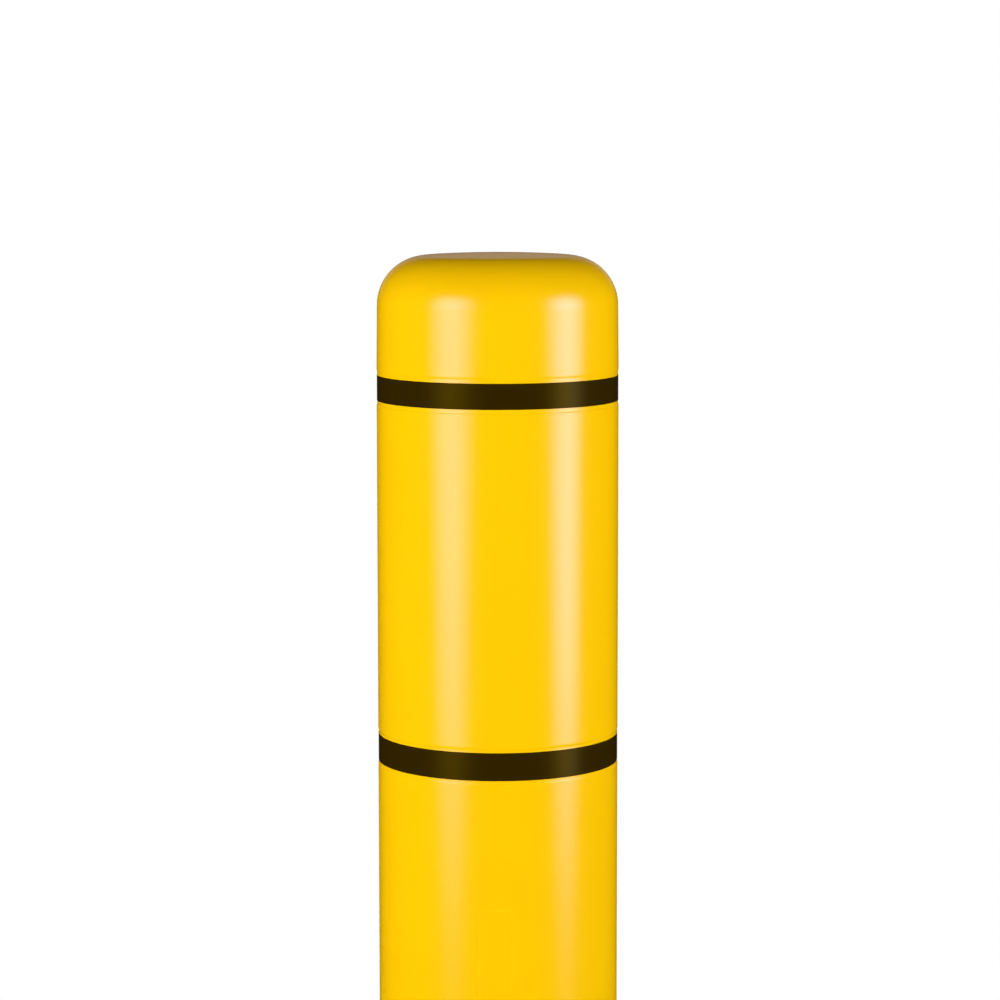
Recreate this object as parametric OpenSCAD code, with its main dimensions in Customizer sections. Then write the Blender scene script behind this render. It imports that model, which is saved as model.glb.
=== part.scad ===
// Bollard cover sleeve: a moulded plastic sleeve with a domed top that slips down over a round post.
// Two tape bands lie in shallow recesses round the outside, and foam strips stuck inside grip the post.
// Millimetres, +Z up, origin at the middle of the bottom rim. The front faces -Y.

/* [Post] */
// Outside diameter of the round post that the sleeve goes over
post_d = 168.3; // [88.9:0.1:325]
// Gap left all round between the post and the foam
post_gap = 0.05; // [0:0.01:0.2]

/* [Sleeve] */
// Height from the bottom rim to the top of the dome
sleeve_h = 1321; // [900:1:1850]
// Thickness of the moulded wall, the same all over
wall = 3.2; // [2:0.1:6.5]
// Chamfer on the outer edge of the bottom rim
rim_chamfer = 0.6; // [0.2:0.1:1.5]

/* [Dome] */
// Radius of the shoulder that rounds the side over into the crown
shoulder_r = 37; // [15:0.5:42]
// Rise of the crown's middle above the shoulder
crown_rise = 1.7; // [0.5:0.1:12]
// How much narrower the dome is at its shoulder than at its lip
skirt_flare = 0.5; // [0:0.1:2]

/* [Tape recesses] */
// Depth of the upper recess's middle below the top of the dome
recess_drop = 100.1; // [70:0.1:200]
// Distance between the middles of the two recesses
recess_pitch = 272; // [120:1:420]
// Room that a recess's floor leaves above and below the wider tape
tape_room = 2; // [0.5:0.1:12]
// Depth of a recess
recess_depth = 0.4; // [0.3:0.05:1.5]
// Height of the sloping flank above a recess's floor
upper_flank = 1.4; // [0.5:0.1:4]
// Height of the steeper flank below a recess's floor
lower_flank = 0.7; // [0.5:0.1:4]

/* [Tape bands] */
// Width of the upper band's tape
upper_tape_w = 19; // [10:0.1:40]
// Width of the lower band's tape
lower_tape_w = 20.8; // [10:0.1:40]
// Thickness of the tape
tape_t = 0.15; // [0.1:0.01:0.4]
// Length of the lap where a band's ends meet at the back
tape_lap = 20; // [5:1:60]

/* [Foam strips] */
// Thickness of the foam
foam_t = 3.2; // [2:0.1:12]
// Width of a strip, measured round the sleeve's inner wall
foam_w = 25.4; // [12:0.1:50]
// Length of a strip
foam_len = 204; // [60:1:400]
// Number of strips in each row
strips_per_row = 4; // [3:1:5]
// Depth of the upper row's top ends below the top of the dome
upper_row_drop = 133; // [110:1:300]
// Height of the lower row's bottom ends above the rim
lower_row_z = 30; // [5:1:200]

/* [Hidden] */
// Thickness of the adhesive behind the tape and the foam
glue_t = 0.05;
// Length by which a cutting shape runs past the face that it opens
overcut = 1;
// Steps in a full turn, and in the crown's far larger circle
turn_steps = 144;
crown_steps = 1440;

grip_r = post_d / 2 + post_gap;
bore_r = grip_r + foam_t + glue_t;
outer_r = bore_r + wall;

// Height of a recess's floor
recess_h = max(upper_tape_w, lower_tape_w) + 2 * tape_room;
// Middles of the recesses' floors, where the tape lies
upper_recess_z = sleeve_h - recess_drop;
lower_recess_z = upper_recess_z - recess_pitch;
tape_in_r = outer_r - recess_depth + glue_t;
lap_angle = tape_lap / tape_in_r * 180 / PI;
back_angle = 90;

// The dome's lip is the top of the upper recess's flank
lip_z = upper_recess_z + recess_h / 2 + upper_flank;
// Middle of the shoulder's arc
shoulder_x = outer_r - skirt_flare - shoulder_r;
shoulder_z = sleeve_h - crown_rise - shoulder_r;
// The crown is an arc about the axis that runs smoothly into the shoulder's arc
crown_r = shoulder_r + (shoulder_x ^ 2 + crown_rise ^ 2) / (2 * crown_rise);
crown_z = sleeve_h - crown_r;
// The two arcs meet on a line through both of their middles
function crown_edge_x(z) = (z - crown_z) * shoulder_x / (shoulder_z - crown_z);
// Height from which the dome's rounded forms are drawn, well inside the section
dome_base_z = shoulder_z - shoulder_r / 2;

foam_angle = foam_w / bore_r * 180 / PI;
upper_row_z = sleeve_h - upper_row_drop - foam_len;
// The lower row is turned by half a step, so that the two rows bear on the post all round
row_turns = [0, 180 / strips_per_row];

yellow = [1, 0.8, 0.004];
tape_black = [0.19, 0.135, 0.01];
foam_grey = [0.2, 0.2, 0.21];

function strip_names(row) = [for (i = [1 : strips_per_row]) str(row, "_foam_strip_", i)];
function strip_turn(i, row) = (i - 1) * 360 / strips_per_row + row_turns[row];

// Half of the sleeve's upright section, filled to the axis and moved in from the outer face by inset
module filled_section(inset, bottom_z) {
    side_r = outer_r - inset;
    dome_top_z = sleeve_h + overcut;
    polygon([
        [0, bottom_z], [side_r, bottom_z], [side_r, lip_z], [side_r - skirt_flare, shoulder_z], [0, shoulder_z]
    ]);
    // The shoulder's whole circle lies inside the section, so only its upper outer quarter shows
    intersection() {
        translate([shoulder_x, shoulder_z]) circle(r = shoulder_r - inset, $fn = turn_steps);
        translate([0, dome_base_z]) square([outer_r, dome_top_z - dome_base_z]);
    }
    intersection() {
        translate([0, crown_z]) circle(r = crown_r - inset, $fn = crown_steps);
        polygon([
            [0, dome_base_z], [crown_edge_x(dome_base_z), dome_base_z],
            [crown_edge_x(dome_top_z), dome_top_z], [0, dome_top_z]
        ]);
    }
}

// Section of one recess, open past the side that it is pressed into
module recess_section(middle_z, side_r) {
    floor_half = recess_h / 2;
    floor_r = side_r - recess_depth;
    open_r = side_r + overcut;
    translate([0, middle_z]) polygon([
        [floor_r, -floor_half], [side_r, -floor_half - lower_flank], [open_r, -floor_half - lower_flank],
        [open_r, floor_half + upper_flank], [side_r, floor_half + upper_flank], [floor_r, floor_half]
    ]);
}

// The filled section with both recesses pressed into it
module pressed_section(inset, bottom_z) {
    difference() {
        filled_section(inset, bottom_z);
        for (z = [upper_recess_z, lower_recess_z]) recess_section(z, outer_r - inset);
    }
}

// One moulding with an even wall, so each recess also stands out as a low rib inside
module sleeve_shell() {
    color(yellow) rotate_extrude($fn = turn_steps) difference() {
        pressed_section(0, 0);
        pressed_section(wall, -overcut);
        polygon([
            [outer_r - rim_chamfer - overcut, -overcut], [outer_r + overcut, -overcut],
            [outer_r + overcut, rim_chamfer + overcut]
        ]);
    }
}

// A band of tape round its recess, with its outer end lapped over its inner end at the back
module tape_band(middle_z, width) {
    color(tape_black) translate([0, 0, middle_z - width / 2]) {
        rotate_extrude($fn = turn_steps) translate([tape_in_r, 0]) square([tape_t, width]);
        rotate(back_angle - lap_angle / 2)
            rotate_extrude(angle = lap_angle, $fn = turn_steps)
            translate([tape_in_r + tape_t, 0]) square([tape_t, width]);
    }
}

// A foam strip stuck to the inner wall, which it follows over any rib on its way
module foam_strip(bottom_z, turn) {
    color(foam_grey) rotate(turn - foam_angle / 2)
        rotate_extrude(angle = foam_angle, $fn = turn_steps) intersection() {
            translate([grip_r, bottom_z]) square([foam_t + overcut, foam_len]);
            pressed_section(wall + glue_t, -overcut);
        }
}

sleeve_shell();
tape_band(upper_recess_z, upper_tape_w);  // upper_tape_band
tape_band(lower_recess_z, lower_tape_w);  // lower_tape_band
for (i = [1 : strips_per_row]) {
    foam_strip(upper_row_z, strip_turn(i, 0));
    foam_strip(lower_row_z, strip_turn(i, 1));
}
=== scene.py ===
"""The looks of a bollard cover sleeve.

A yellow moulded sleeve with a domed top, two black tape bands in recesses round it, and foam strips inside.
Metres, +Z up, the front faces -Y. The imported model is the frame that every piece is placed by.
"""

from math import atan2, cos, pi, radians, sin

import bpy
from mathutils import Matrix, Vector


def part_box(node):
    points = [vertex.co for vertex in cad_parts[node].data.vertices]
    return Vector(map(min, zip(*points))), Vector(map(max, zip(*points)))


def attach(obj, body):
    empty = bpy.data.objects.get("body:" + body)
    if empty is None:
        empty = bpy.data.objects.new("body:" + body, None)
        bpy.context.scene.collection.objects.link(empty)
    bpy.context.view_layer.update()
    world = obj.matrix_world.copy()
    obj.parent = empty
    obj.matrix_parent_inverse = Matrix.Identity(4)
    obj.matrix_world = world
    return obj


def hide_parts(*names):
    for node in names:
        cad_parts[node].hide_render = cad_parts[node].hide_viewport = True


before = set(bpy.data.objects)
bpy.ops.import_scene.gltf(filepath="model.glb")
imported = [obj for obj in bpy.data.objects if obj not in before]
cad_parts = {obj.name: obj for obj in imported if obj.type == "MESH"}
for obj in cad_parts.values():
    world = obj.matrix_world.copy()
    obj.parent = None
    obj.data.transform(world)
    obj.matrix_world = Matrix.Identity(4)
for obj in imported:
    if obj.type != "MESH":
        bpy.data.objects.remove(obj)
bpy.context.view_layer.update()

# Sizes of the moulded sleeve, whose radius and height come from the frame
MM = 0.001
sleeve_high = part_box("sleeve_shell")[1]
OUTER_R = sleeve_high.x
SLEEVE_H = sleeve_high.z
WALL = 3.2 * MM
SHOULDER_R = 37 * MM
CROWN_RISE = 1.7 * MM
SKIRT_FLARE = 0.5 * MM
RECESS_H = 24.8 * MM
RECESS_DEPTH = 0.4 * MM
UPPER_FLANK = 1.4 * MM
LOWER_FLANK = 0.7 * MM
# How far from a corner its rounding begins
UPPER_ROUND = 0.66 * MM
LOWER_ROUND = 0.33 * MM
RIM_ROUND = 0.8 * MM

# Sizes of the tape and the foam
TAPE_NODES = ("upper_tape_band", "lower_tape_band")
TAPE_T = 0.15 * MM
TAPE_LAP = 20 * MM
TAPE_ROUND = 0.04 * MM
# Where the tape's outer end climbs onto its inner end, in laps before a full turn
CLIMB_START = 0.5
CLIMB_END = 0.1
GLUE_T = 0.05 * MM
STRIPS_PER_ROW = 4
FOAM_T = 3.2 * MM
FOAM_W = 25.4 * MM
FOAM_ROUND = 0.6 * MM
# The foam's face falls by this much towards its long edges, over this width
FOAM_CROWN = 0.3 * MM
FOAM_CROWN_EDGE = 4 * MM
FOAM_UNEVEN = 0.3 * MM

# The fine raised line round the blank panel on the front, below the lower band
PANEL_TOP_DROP = 479 * MM
PANEL_W = 26 * MM
PANEL_H = 180 * MM
PANEL_CORNER = 1.2 * MM
PANEL_TURN = radians(-1.1)
LINE_W = 1.6 * MM
LINE_RISE = 0.16 * MM
# Depths below the sleeve's side at which the line's swell begins and its foot ends
LINE_DIP = 0.02 * MM
LINE_SINK = 0.2 * MM

# Steps that the round forms are drawn in
TURN_STEPS = 240
CROWN_STEPS = 12
SHOULDER_STEPS = 36
CORNER_STEPS = 6
TAPE_STEPS = 260
FOAM_STEPS = 90
FILLET_STEPS = 12
LINE_STEPS = 12
# Distance between the points along the panel's line
PANEL_STEP = 0.5 * MM
# Distance of a guard point from a rounding
GUARD = 0.05 * MM
# Points that lie closer than this are made one
WELD = 0.001 * MM

# Finishes
YELLOW_DEEP = (0.922, 0.53, 0.0011, 1)
YELLOW_PALE = (0.934, 0.54, 0.0011, 1)
YELLOW_SHEEN = (0.8, 0.54, 1, 1)
SLEEVE_GLOSS = 0.75
LINE_GLOSS = 0.05
# Heights of the plastic's slow ripple, fine peel and parting ridge
RIPPLE = 0.05 * MM
PEEL = 0.003 * MM
RIDGE = 0.06 * MM
# Half the ridge's width at its top and at its foot
RIDGE_TOP = 0.15 * MM
RIDGE_FOOT = 0.6 * MM
TAPE_DARK = (0.0225, 0.0122, 0.0002, 1)
TAPE_PALE = (0.0265, 0.0146, 0.0003, 1)
TAPE_SHEEN = (1, 0.65, 0, 1)
# The lower band's wider tape is the glossier one
TAPE_GLOSS = (0.145, 0.26)
TAPE_GRAIN = 0.004 * MM
# Painted shade: a darker colour for the hollows of the foam's cells
FOAM_PIT_SHADE = (0.014, 0.014, 0.015, 1)
FOAM_DARK = (0.03, 0.03, 0.032, 1)
FOAM_PALE = (0.045, 0.045, 0.048, 1)
FOAM_GLOSS = 0.3
FOAM_CELLS = 0.15 * MM

# Studio floor, and the distances from its middle between which it darkens and whitens
WHITE = (1, 1, 1, 1)
FLOOR_PALE = (0.88, 0.88, 0.88, 1)
FLOOR_DARK = (0.02, 0.02, 0.02, 1)
FLOOR_R = 1.25
FLOOR_SIDES = 96
FLOOR_DARKENS = (0.25 * FLOOR_R, 0.85 * FLOOR_R)
FLOOR_WHITENS = (0.1 * FLOOR_R, 0.4 * FLOOR_R)
# Share of plain white that the camera sees in the floor's middle
FLOOR_WHITE = 0.6

# Lamps stand round the sleeve's axis. Azimuths are in degrees: 0 is the front, and they grow towards +X
SOFTBOX_AWAY = 2
SOFTBOX_LOW = -0.5
SOFTBOX_HIGH = 2.65
# Each softbox's azimuth, width and brightness, and the shares of its height at its waist and at its top
SOFTBOXES = {
    "left_softbox": (-43.6, 2.27, 3.6, 0.38, 1.03),
    "right_softbox": (67.2, 2.2, 5.3, 0.46, 0.985),
}
# Up to its waist a softbox has this share of its width, and from this share of its height all of it
BOX_NARROW = 0.82
BOX_WIDE_UP = 0.53
# Its foot is dim, its body comes up to full brightness, its head is brighter still, and its top fades out
BOX_FOOT = 0.12
BOX_FOOT_UP = (0, 0.1)
BOX_BODY_UP = (0.23, 0.452)
BOX_HEAD = 0.35
BOX_HEAD_UP = (0.54, 0.595)
BOX_TOP_FADE = 0.38
# The faintest part of its fading is cut off
BOX_CUT = 0.1
# Fill panels: brightness by azimuth
FILL_PANELS = {-140: 1.07, -80: 1.11, -20: 1.34, 40: 0.48, 100: 1.04, 160: 1.12, 180: 0.65}
FILL_AWAY = 2.2
FILL_W = 2.2
FILL_LOW = -0.8
FILL_HIGH = 2.95

# The room that the plastic reflects: nearly dark, with a glow behind the object, just above the horizon
ROOM_TONE = (1, 0.81, 0.77, 1)
ROOM_DARK = 0.003
ROOM_GLOW = 0.325
GLOW_BACK = (0.85, 1)
GLOW_RISE = (0, 0.08)
GLOW_FALL = (0.15, 0.45)

# The camera's lens in millimetres, its place in metres and its turns in radians
LENS = 119.35
CAMERA_AWAY = 2.4781
CAMERA_ABOVE_BAND = 0.19497
CAMERA_PAN = -0.0007
CAMERA_TILT = -0.1165
CAMERA_ROLL = -0.0009

# The two arcs that make the dome: the shoulder's middle, and the crown's radius and middle
SHOULDER_X = OUTER_R - SKIRT_FLARE - SHOULDER_R
SHOULDER_Z = SLEEVE_H - CROWN_RISE - SHOULDER_R
CROWN_R = SHOULDER_R + (SHOULDER_X**2 + CROWN_RISE**2) / (2 * CROWN_RISE)
CROWN_Z = SLEEVE_H - CROWN_R


def middle_of(node):
    """The middle of a node's box."""
    low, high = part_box(node)
    return (low + high) / 2


RECESS_MIDDLES = [middle_of(node).z for node in TAPE_NODES]


class Wire:
    """A value in a node tree. Sums, products and the like of wires add the Math nodes that work them out."""

    def __init__(self, net, socket):
        self.net = net
        self.socket = socket

    def __add__(self, other):
        return self.net.math("ADD", self, other)

    def __radd__(self, other):
        return self.net.math("ADD", other, self)

    def __sub__(self, other):
        return self.net.math("SUBTRACT", self, other)

    def __rsub__(self, other):
        return self.net.math("SUBTRACT", other, self)

    def __mul__(self, other):
        return self.net.math("MULTIPLY", self, other)

    def __rmul__(self, other):
        return self.net.math("MULTIPLY", other, self)

    def __truediv__(self, other):
        return self.net.math("DIVIDE", self, other)

    def __rtruediv__(self, other):
        return self.net.math("DIVIDE", other, self)

    def __abs__(self):
        return self.net.math("ABSOLUTE", self)

    def also(self, output):
        """Another output of the same node."""
        return Wire(self.net, self.socket.node.outputs[output])


class Net:
    """A node tree under construction."""

    def __init__(self, tree):
        self.tree = tree

    def add(self, kind, settings=None, inputs=None, output=0):
        """A new node: its settings are made first, then its sockets get their values or wires."""
        node = self.tree.nodes.new(kind)
        for name, value in (settings or {}).items():
            setattr(node, name, value)
        for name, value in (inputs or {}).items():
            if isinstance(value, Wire):
                self.tree.links.new(value.socket, node.inputs[name])
            else:
                node.inputs[name].default_value = value
        return Wire(self, node.outputs[output]) if node.outputs else None

    def math(self, operation, *values):
        return self.add("ShaderNodeMath", {"operation": operation}, dict(enumerate(values)))

    def ease(self, value, low, high):
        """0 below low, 1 above high and a smooth climb between them."""
        settings = {"interpolation_type": "SMOOTHSTEP"}
        return self.add("ShaderNodeMapRange", settings, {"Value": value, "From Min": low, "From Max": high})

    def blend(self, factor, first, second):
        """A colour between two. Mix has sockets of the same names for each type, so these go by number."""
        return self.add("ShaderNodeMix", {"data_type": "RGBA"}, {0: factor, 6: first, 7: second}, 2)

    def noise(self, place, scale, detail=2.0, roughness=0.5):
        inputs = {"Vector": place, "Scale": scale, "Detail": detail, "Roughness": roughness}
        return self.add("ShaderNodeTexNoise", inputs=inputs)

    def vector(self, x, y, z):
        return self.add("ShaderNodeCombineXYZ", inputs={"X": x, "Y": y, "Z": z})


# Materials


def new_material(name):
    material = bpy.data.materials.new(name)
    material.use_nodes = True
    material.node_tree.nodes.clear()
    return material, Net(material.node_tree)


def yellow_polyethylene(name, gloss):
    """Moulded yellow plastic: faint mottling, a slow ripple, fine peel and the mould's parting ridge."""
    material, net = new_material(name)
    place = net.add("ShaderNodeTexCoord", output="Object")
    mottle = net.noise(place, scale=16, detail=4)
    colour = net.blend(net.ease(mottle, 0.3, 0.7), YELLOW_DEEP, YELLOW_PALE)

    ripple = net.noise(place, scale=22, detail=1)
    peel = net.noise(place, scale=700, detail=2)
    across = net.add("ShaderNodeSeparateXYZ", inputs={"Vector": place}, output="Y")
    ridge = 1 - net.ease(abs(across), RIDGE_TOP, RIDGE_FOOT)
    height = ripple * RIPPLE + peel * PEEL + ridge * RIDGE
    normal = net.add("ShaderNodeBump", inputs={"Strength": 1, "Distance": 1, "Height": height})

    haze = net.noise(place, scale=60, detail=5, roughness=0.6)
    inputs = {
        "Base Color": colour,
        "Roughness": 0.15 + haze * 0.05,
        "Specular IOR Level": gloss,
        "Specular Tint": YELLOW_SHEEN,
        "Normal": normal,
    }
    shader = net.add("ShaderNodeBsdfPrincipled", inputs=inputs)
    net.add("ShaderNodeOutputMaterial", inputs={"Surface": shader})
    return material


def black_vinyl_tape(name, gloss):
    """Black tape with a faint grain and a soft sheen."""
    material, net = new_material(name)
    place = net.add("ShaderNodeTexCoord", output="Object")
    cloud = net.noise(place, scale=40, detail=4)
    colour = net.blend(cloud, TAPE_DARK, TAPE_PALE)
    grain = net.noise(place, scale=1400, detail=2)
    normal = net.add("ShaderNodeBump", inputs={"Strength": 1, "Distance": 1, "Height": grain * TAPE_GRAIN})
    inputs = {
        "Base Color": colour,
        "Roughness": 0.22 + cloud * 0.06,
        "Specular IOR Level": gloss,
        "Specular Tint": TAPE_SHEEN,
        "Normal": normal,
    }
    shader = net.add("ShaderNodeBsdfPrincipled", inputs=inputs)
    net.add("ShaderNodeOutputMaterial", inputs={"Surface": shader})
    return material


def charcoal_foam():
    """Closed-cell foam: small cells whose hollows are painted darker as shade, a dull skin and paler cell
    walls.
    """
    material, net = new_material("charcoal_foam")
    place = net.add("ShaderNodeTexCoord", output="Object")
    cells = net.add("ShaderNodeTexVoronoi", {"feature": "F1"}, {"Vector": place, "Scale": 900})
    pit_depth_and_shade = net.ease(cells, 0.1, 0.7)
    cloud = net.noise(place, scale=60, detail=3)
    skin = net.blend(cloud, FOAM_DARK, FOAM_PALE)
    # Painted shade: the cells' hollows take the darker colour and the rest takes the skin's colour
    colour = net.blend(pit_depth_and_shade, FOAM_PIT_SHADE, skin)
    normal = net.add("ShaderNodeBump", inputs={"Strength": 0.8, "Distance": 1, "Height": pit_depth_and_shade * FOAM_CELLS})
    inputs = {
        "Base Color": colour,
        "Roughness": 0.88 + cloud * 0.1,
        "Specular IOR Level": FOAM_GLOSS,
        "Normal": normal,
    }
    shader = net.add("ShaderNodeBsdfPrincipled", inputs=inputs)
    net.add("ShaderNodeOutputMaterial", inputs={"Surface": shader})
    return material


# Outlines that the trees sweep


def arc(centre, radius, start, end, steps):
    """Points round an arc, by angles from the upright towards the outside."""
    turns = [start + (end - start) * i / steps for i in range(steps + 1)]
    return [Vector((centre[0] + radius * sin(turn), centre[1] + radius * cos(turn))) for turn in turns]


def rounded_run(corners):
    """Points along a run of straight lines, where each corner (x, z, rounding) between the ends is rounded.

    A guard point on either side of a rounding keeps its shading off the straight lines.
    """
    points = []
    for before, corner, after in zip(corners, corners[1:], corners[2:]):
        here = Vector(corner[:2])
        reach = corner[2]
        guard = min(GUARD, reach / 2)
        back = (Vector(before[:2]) - here).normalized()
        ahead = (Vector(after[:2]) - here).normalized()
        start = here + back * reach
        end = here + ahead * reach
        points.append(start + back * guard)
        for i in range(CORNER_STEPS + 1):
            share = i / CORNER_STEPS
            points.append(start.lerp(here, share).lerp(here.lerp(end, share), share))
        points.append(end + ahead * guard)
    return points


def dome_line(inset):
    """The dome's section, from its middle to the foot of its shoulder, moved in from the outer face."""
    join = atan2(SHOULDER_X, SHOULDER_Z - CROWN_Z)
    crown = arc((0, CROWN_Z), CROWN_R - inset, 0, join, CROWN_STEPS)
    shoulder = arc((SHOULDER_X, SHOULDER_Z), SHOULDER_R - inset, join, pi / 2, SHOULDER_STEPS)
    return crown + shoulder[1:]


def side_corners(inset):
    """Corners of the side's section with its recesses, from the dome's lip down."""
    side_r = OUTER_R - inset
    floor_r = side_r - RECESS_DEPTH
    floor_half = RECESS_H / 2
    corners = []
    for middle in RECESS_MIDDLES:
        top = middle + floor_half
        bottom = middle - floor_half
        corners += [(side_r, top + UPPER_FLANK, UPPER_ROUND), (floor_r, top, UPPER_ROUND)]
        corners += [(floor_r, bottom, LOWER_ROUND), (side_r, bottom - LOWER_FLANK, LOWER_ROUND)]
    return corners


def sleeve_section():
    """The moulded wall's section: down the outside, round the rim and up the inside."""
    outside = dome_line(0)
    inside = dome_line(WALL)
    rim = [(OUTER_R, 0, RIM_ROUND), (OUTER_R - WALL, 0, RIM_ROUND)]
    corners = [outside[-1], *side_corners(0), *rim, *reversed(side_corners(WALL)), inside[-1]]
    return outside + rounded_run(corners) + inside[::-1]


def ring_of(corners):
    """A closed outline with every corner rounded."""
    return rounded_run([corners[-1], *corners, corners[0]])


def low_swell():
    """The section of a line that swells smoothly out of a face, on a foot sunk below it. Down is +Y."""
    points = [Vector((LINE_W / 2, LINE_SINK)), Vector((-LINE_W / 2, LINE_SINK))]
    for i in range(LINE_STEPS + 1):
        share = i / LINE_STEPS
        height = (LINE_RISE + LINE_DIP) * (1 - cos(2 * pi * share)) / 2 - LINE_DIP
        points.append(Vector((LINE_W * (share - 0.5), -height)))
    return points


def line_mesh(name, points, closed):
    """A mesh of one line through points, which a tree sweeps."""
    mesh = bpy.data.meshes.new(name)
    edges = [(i, i + 1) for i in range(len(points) - 1)]
    if closed:
        edges.append((len(points) - 1, 0))
    mesh.from_pydata([(x, y, 0) for x, y in points], edges, [])
    return mesh


# Geometry Nodes trees


def new_tree(name, sizes):
    """A tree with a section as its geometry, named sizes of the given socket types and a finish."""
    tree = bpy.data.node_groups.new(name, "GeometryNodeTree")
    tree.is_modifier = True
    tree.interface.new_socket("Section", in_out="INPUT", socket_type="NodeSocketGeometry")
    for size, kind in sizes.items():
        tree.interface.new_socket(size, in_out="INPUT", socket_type=kind)
    tree.interface.new_socket("Finish", in_out="INPUT", socket_type="NodeSocketMaterial")
    tree.interface.new_socket("Piece", in_out="OUTPUT", socket_type="NodeSocketGeometry")
    net = Net(tree)
    return tree, net, net.add("NodeGroupInput")


def end_tree(net, given, shape):
    """Close a tree: smooth faces, real geometry and the finish."""
    smooth = net.add("GeometryNodeSetShadeSmooth", inputs={"Geometry": shape})
    real = net.add("GeometryNodeRealizeInstances", inputs={"Geometry": smooth})
    done = net.add("GeometryNodeSetMaterial", inputs={"Geometry": real, "Material": given.also("Finish")})
    net.add("NodeGroupOutput", inputs={"Piece": done})


def round_the_axis(net, shape, turn, radius, height):
    """Move a shape's points to an angle, a radius and a height about the sleeve's axis."""
    point = net.vector(radius * net.math("COSINE", turn), radius * net.math("SINE", turn), height)
    return net.add("GeometryNodeSetPosition", inputs={"Geometry": shape, "Position": point})


def revolved_tree():
    """A section of radius and height, turned once round the axis."""
    tree, net, given = new_tree("revolved_section", {"Steps": "NodeSocketInt"})
    steps = given.also("Steps")
    count = net.add("GeometryNodeAttributeDomainSize", inputs={"Geometry": given}, output="Point Count")
    grid = net.add("GeometryNodeMeshGrid", inputs={"Vertices X": steps + 1, "Vertices Y": count})
    index = net.add("GeometryNodeInputIndex")
    row = net.math("FLOOR", index / count)
    sample = {"Geometry": given, "Value": net.add("GeometryNodeInputPosition"), "Index": index - row * count}
    spot = net.add("GeometryNodeSampleIndex", {"data_type": "FLOAT_VECTOR"}, sample)
    radius = net.add("ShaderNodeSeparateXYZ", inputs={"Vector": spot})
    turned = round_the_axis(net, grid, row * (-2 * pi) / steps, radius, radius.also("Y"))
    closed = net.add("GeometryNodeMergeByDistance", inputs={"Geometry": turned, "Distance": WELD})
    end_tree(net, given, closed)
    return tree


def swept(net, path, section):
    """A closed section carried along a path that keeps upright, with its ends closed."""
    upright = net.add("GeometryNodeSetCurveNormal", {"mode": "Z_UP"}, {"Curve": path})
    outline = net.add("GeometryNodeMeshToCurve", inputs={"Mesh": section})
    inputs = {"Curve": upright, "Profile Curve": outline, "Fill Caps": True}
    return net.add("GeometryNodeCurveToMesh", inputs=inputs)


def tape_tree():
    """Tape wound once round the axis from the back, its outer end climbing over its inner end."""
    sizes = {"Radius": "NodeSocketFloat", "Height": "NodeSocketFloat", "Thickness": "NodeSocketFloat"}
    sizes |= {"Lap": "NodeSocketFloat", "Steps": "NodeSocketInt"}
    tree, net, given = new_tree("wound_tape", sizes)
    radius = given.also("Radius")
    lap_turn = given.also("Lap") / radius
    line = net.add("GeometryNodeCurvePrimitiveLine")
    path = net.add("GeometryNodeResampleCurve", inputs={"Curve": line, "Count": given.also("Steps")})
    share = net.add("GeometryNodeSplineParameter", output="Factor")
    turn = share * (2 * pi + lap_turn)
    climb = net.ease(turn, 2 * pi - lap_turn * CLIMB_START, 2 * pi - lap_turn * CLIMB_END)
    out = radius + climb * given.also("Thickness")
    wound = round_the_axis(net, path, turn + pi / 2 - lap_turn / 2, out, given.also("Height"))
    end_tree(net, given, swept(net, wound, given))
    return tree


def foam_tree():
    """A foam strip on the bore: a straight bar with soft ends, bent round the axis and made uneven."""
    sizes = {"Bottom": "NodeSocketFloat", "Length": "NodeSocketFloat", "Turn": "NodeSocketFloat"}
    sizes |= {"Back Radius": "NodeSocketFloat", "Thickness": "NodeSocketFloat", "Width": "NodeSocketFloat"}
    sizes |= {"End Round": "NodeSocketFloat", "Unevenness": "NodeSocketFloat", "Seed": "NodeSocketFloat"}
    sizes |= {"Steps": "NodeSocketInt"}
    tree, net, given = new_tree("foam_strip", sizes)
    length = given.also("Length")
    back = given.also("Back Radius")
    soft = given.also("End Round")

    line = net.add("GeometryNodeCurvePrimitiveLine")
    path = net.add("GeometryNodeResampleCurve", inputs={"Curve": line, "Count": given.also("Steps")})
    share = net.add("GeometryNodeSplineParameter", output="Factor")
    rise = (1 - net.math("COSINE", share * pi)) / 2 * length
    line_place = {"Geometry": path, "Position": net.vector(0, 0, rise)}
    bar = swept(net, net.add("GeometryNodeSetPosition", inputs=line_place), given)

    radius = net.add("ShaderNodeSeparateXYZ", inputs={"Vector": net.add("GeometryNodeInputPosition")})
    across = radius.also("Y")
    height = radius.also("Z")
    to_end = length / 2 - abs(height - length / 2)
    short = net.math("MAXIMUM", soft - to_end, 0)
    inset = soft - net.math("SQRT", soft * soft - short * short)
    front = (back - radius) / given.also("Thickness")
    place = net.vector(across, height, given.also("Seed"))
    bumps = (net.noise(place, scale=90, detail=3) - 0.5) * given.also("Unevenness")
    turn = given.also("Turn") + across * (1 - inset * 2 / given.also("Width")) / back
    bent = round_the_axis(net, bar, turn, radius + front * (inset + bumps), height + given.also("Bottom"))
    end_tree(net, given, bent)
    return tree


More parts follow.
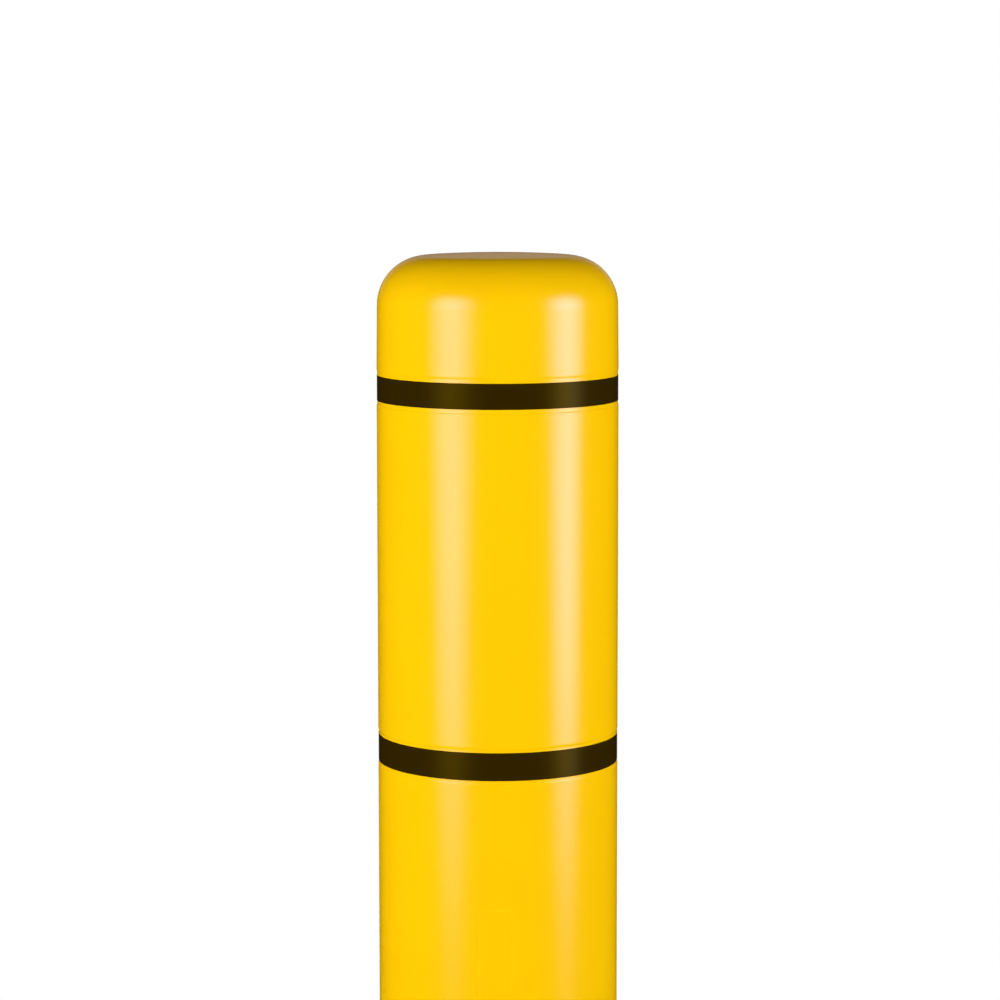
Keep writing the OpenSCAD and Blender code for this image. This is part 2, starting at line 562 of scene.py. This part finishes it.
def panel_line_tree():
    """A fine line round a panel with rounded corners, bent onto the sleeve's side."""
    sizes = {"Width": "NodeSocketFloat", "Length": "NodeSocketFloat", "Corner": "NodeSocketFloat"}
    sizes |= {"Side Radius": "NodeSocketFloat", "Turn": "NodeSocketFloat", "Height": "NodeSocketFloat"}
    sizes |= {"Step": "NodeSocketFloat", "Fillet Steps": "NodeSocketInt"}
    tree, net, given = new_tree("panel_line", sizes)
    size = {"Width": given.also("Width"), "Height": given.also("Length")}
    box = net.add("GeometryNodeCurvePrimitiveQuadrilateral", inputs=size)
    fillet = {"Curve": box, "Radius": given.also("Corner"), "Count": given.also("Fillet Steps")}
    loop = net.add("GeometryNodeFilletCurve", {"mode": "POLY"}, fillet)
    even = {"Curve": loop, "Length": given.also("Step")}
    path = net.add("GeometryNodeResampleCurve", {"mode": "LENGTH"}, even)
    flat = swept(net, path, given)
    across = net.add("ShaderNodeSeparateXYZ", inputs={"Vector": net.add("GeometryNodeInputPosition")})
    side = given.also("Side Radius")
    turn = given.also("Turn") + across / side
    height = given.also("Height") + across.also("Y")
    end_tree(net, given, round_the_axis(net, flat, turn, side + across.also("Z"), height))
    return tree


# Pieces


def make_piece(name, node, tree, section, sizes, finish):
    """Run a tree on a section, and keep the outcome as a plain mesh that stands for a node."""
    piece = bpy.data.objects.new(name, section)
    bpy.context.scene.collection.objects.link(piece)
    modifier = piece.modifiers.new("shape", "NODES")
    modifier.node_group = tree
    given = dict(sizes, Finish=finish)
    for item in tree.interface.items_tree:
        if item.name in given:
            modifier[item.identifier] = given[item.name]
    graph = bpy.context.evaluated_depsgraph_get()
    mesh = bpy.data.meshes.new_from_object(piece.evaluated_get(graph), depsgraph=graph)
    piece.modifiers.clear()
    piece.data = mesh
    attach(piece, "root")
    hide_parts(node)
    return piece


def make_sleeve(finish):
    """The moulding, turned from its section."""
    section = line_mesh("sleeve_section", sleeve_section(), False)
    sizes = {"Steps": TURN_STEPS}
    make_piece("moulded_sleeve", "sleeve_shell", revolved_tree(), section, sizes, finish)


def make_panel_line(finish):
    """The fine line that a mould's insert leaves round the blank panel. Its foot is sunk in the wall."""
    section = line_mesh("line_section", low_swell(), True)
    sizes = {
        "Width": PANEL_W - LINE_W,
        "Length": PANEL_H - LINE_W,
        "Corner": PANEL_CORNER,
        "Side Radius": OUTER_R,
        "Turn": PANEL_TURN - pi / 2,
        "Height": SLEEVE_H - PANEL_TOP_DROP - PANEL_H / 2,
        "Step": PANEL_STEP,
        "Fillet Steps": FILLET_STEPS,
    }
    make_piece("panel_line", "sleeve_shell", panel_line_tree(), section, sizes, finish)


def make_tapes():
    """The two bands. Each is as wide and as high up as its node."""
    tree = tape_tree()
    for node, gloss in zip(TAPE_NODES, TAPE_GLOSS):
        finish = black_vinyl_tape(node.replace("band", "vinyl"), gloss)
        low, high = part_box(node)
        half_w = (high.z - low.z) / 2
        corners = [(TAPE_T, half_w), (0, half_w), (0, -half_w), (TAPE_T, -half_w)]
        section = line_mesh(node + "_section", ring_of([(x, z, TAPE_ROUND) for x, z in corners]), True)
        sizes = {
            "Radius": OUTER_R - RECESS_DEPTH + GLUE_T,
            "Height": middle_of(node).z,
            "Thickness": TAPE_T,
            "Lap": TAPE_LAP,
            "Steps": TAPE_STEPS,
        }
        make_piece(node.replace("band", "wrap"), node, tree, section, sizes, finish)


def make_foam(finish):
    """Two rows of strips. Each lies where its node lies."""
    tree = foam_tree()
    back = OUTER_R - WALL - GLUE_T
    half_w = FOAM_W / 2
    edge = half_w - FOAM_CROWN_EDGE
    front = back - FOAM_T
    low_front = front + FOAM_CROWN
    corners = [(back, -half_w), (back, half_w), (low_front, half_w)]
    corners += [(front, edge), (front, -edge), (low_front, -half_w)]
    outline = ring_of([(x, y, FOAM_ROUND) for x, y in corners])
    for row, first_seed in {"upper": 0, "lower": 10}.items():
        for number in range(1, STRIPS_PER_ROW + 1):
            node = f"{row}_foam_strip_{number}"
            low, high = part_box(node)
            middle = middle_of(node)
            sizes = {
                "Bottom": low.z,
                "Length": high.z - low.z,
                "Turn": atan2(middle.y, middle.x),
                "Back Radius": back,
                "Thickness": FOAM_T,
                "Width": FOAM_W,
                "End Round": FOAM_ROUND,
                "Unevenness": FOAM_UNEVEN,
                "Seed": first_seed + number,
                "Steps": FOAM_STEPS,
            }
            section = line_mesh(node + "_section", outline, True)
            piece = make_piece(f"{row}_foam_pad_{number}", node, tree, section, sizes, finish)


# Studio


def make_floor():
    """A pale round floor that darkens outwards. For the camera it whitens outwards instead."""
    material, net = new_material("studio_floor")
    place = net.add("ShaderNodeTexCoord", output="Object")
    away = net.add("ShaderNodeVectorMath", {"operation": "LENGTH"}, {0: place}, "Value")
    seen = net.add("ShaderNodeLightPath", output="Is Camera Ray")
    glow = net.add("ShaderNodeEmission", inputs={"Color": WHITE, "Strength": 1})
    tone = net.blend(net.ease(away, *FLOOR_DARKENS), FLOOR_PALE, FLOOR_DARK)
    paint = net.add("ShaderNodeBsdfDiffuse", inputs={"Color": tone})
    whiter = FLOOR_WHITE + (1 - FLOOR_WHITE) * net.ease(away, *FLOOR_WHITENS)
    shader = net.add("ShaderNodeMixShader", inputs={0: seen * whiter, 1: paint, 2: glow})
    net.add("ShaderNodeOutputMaterial", inputs={"Surface": shader})
    mesh = bpy.data.meshes.new("studio_floor")
    turns = [2 * pi * i / FLOOR_SIDES for i in range(FLOOR_SIDES)]
    rim = [(FLOOR_R * cos(turn), FLOOR_R * sin(turn), 0) for turn in turns]
    mesh.from_pydata(rim, [], [range(FLOOR_SIDES)])
    mesh.materials.append(material)
    floor = bpy.data.objects.new("studio_floor", mesh)
    bpy.context.scene.collection.objects.link(floor)


def make_lamp(name, azimuth, away, width, low, high, brightness):
    """An upright soft light that faces the sleeve's axis."""
    light = bpy.data.lights.new(name, "AREA")
    light.shape = "RECTANGLE"
    light.size = width
    light.size_y = high - low
    light.energy = brightness * pi * width * (high - low)
    lamp = bpy.data.objects.new(name, light)
    turn = radians(azimuth)
    facing = Vector((-sin(turn), cos(turn), 0))
    lamp.rotation_euler = facing.to_track_quat("-Z", "Y").to_euler()
    lamp.location = Vector((0, 0, (low + high) / 2)) - facing * away
    lamp.visible_camera = False
    bpy.context.scene.collection.objects.link(lamp)
    return lamp


def soften_edges(lamp, waist, top):
    """Let a softbox fade out towards its edges and its top. It widens and brightens above its waist."""
    lamp.data.use_nodes = True
    tree = lamp.data.node_tree
    tree.nodes.clear()
    net = Net(tree)
    spot = net.add("ShaderNodeNewGeometry", output="Parametric")
    across = net.add("ShaderNodeSeparateXYZ", inputs={"Vector": spot})
    up = across.also("Y")
    reach = BOX_NARROW + (1 - BOX_NARROW) * net.ease(up, waist, BOX_WIDE_UP)
    sides = net.ease(1 - abs(across * 2 - 1) / reach, 0, 1)
    foot = net.ease(up, *BOX_FOOT_UP) * BOX_FOOT + net.ease(up, *BOX_BODY_UP) * (1 - BOX_FOOT)
    ends = foot * (1 - net.ease(up, top - BOX_TOP_FADE, top))
    head = 1 + BOX_HEAD * net.ease(up, *BOX_HEAD_UP)
    level = net.math("MAXIMUM", sides * ends * head * (1 + BOX_CUT) - BOX_CUT, 0)
    glow = net.add("ShaderNodeEmission", inputs={"Strength": level})
    net.add("ShaderNodeOutputLight", inputs={"Surface": glow})


def make_lights():
    """Two tall softboxes, whose reflections run down the sleeve, and fill panels that show no reflection."""
    for name, (azimuth, width, brightness, waist, top) in SOFTBOXES.items():
        lamp = make_lamp(name, azimuth, SOFTBOX_AWAY, width, SOFTBOX_LOW, SOFTBOX_HIGH, brightness)
        soften_edges(lamp, waist, top)
    for azimuth, brightness in FILL_PANELS.items():
        name = f"fill_panel_{azimuth}"
        panel = make_lamp(name, azimuth, FILL_AWAY, FILL_W, FILL_LOW, FILL_HIGH, brightness)
        panel.visible_glossy = False
        panel.data.cycles.use_multiple_importance_sampling = False


def make_world():
    """White for the camera and transmitted rays. For others, a dark room with a rosy glow low behind."""
    world = bpy.data.worlds.new("studio")
    world.use_nodes = True
    world.node_tree.nodes.clear()
    bpy.context.scene.world = world
    net = Net(world.node_tree)
    toward = net.add("ShaderNodeTexCoord", output="Generated")
    back = net.add("ShaderNodeSeparateXYZ", inputs={"Vector": toward}, output="Y")
    up = back.also("Z")
    above = net.ease(up, *GLOW_RISE) * (1 - net.ease(up, *GLOW_FALL))
    room = ROOM_DARK + ROOM_GLOW * net.ease(back, *GLOW_BACK) * above
    path = net.add("ShaderNodeLightPath")
    seen = net.math("MAXIMUM", path.also("Is Camera Ray"), path.also("Is Transmission Ray"))
    level = net.math("MAXIMUM", seen, room)
    tone = net.blend(seen, ROOM_TONE, WHITE)
    light = net.add("ShaderNodeBackground", inputs={"Color": tone, "Strength": level})
    net.add("ShaderNodeOutputWorld", inputs={"Surface": light})


def make_camera():
    """The photo's view: a long lens, a little above the upper band and tilted down."""
    data = bpy.data.cameras.new("photo_view")
    data.lens = LENS
    camera = bpy.data.objects.new("photo_view", data)
    band_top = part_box("upper_tape_band")[1].z
    place = Matrix.Translation((0, -CAMERA_AWAY, band_top + CAMERA_ABOVE_BAND))
    pan = Matrix.Rotation(CAMERA_PAN, 4, "Z")
    tilt = Matrix.Rotation(pi / 2 + CAMERA_TILT, 4, "X")
    roll = Matrix.Rotation(CAMERA_ROLL, 4, "Z")
    camera.matrix_world = place @ pan @ tilt @ roll
    bpy.context.scene.collection.objects.link(camera)
    bpy.context.scene.camera = camera


make_sleeve(yellow_polyethylene("glossy_polyethylene", SLEEVE_GLOSS))
make_panel_line(yellow_polyethylene("dull_polyethylene", LINE_GLOSS))
make_tapes()
make_foam(charcoal_foam())

make_floor()
make_lights()
make_world()
make_camera()
bpy.context.scene.view_settings.view_transform = "Standard"
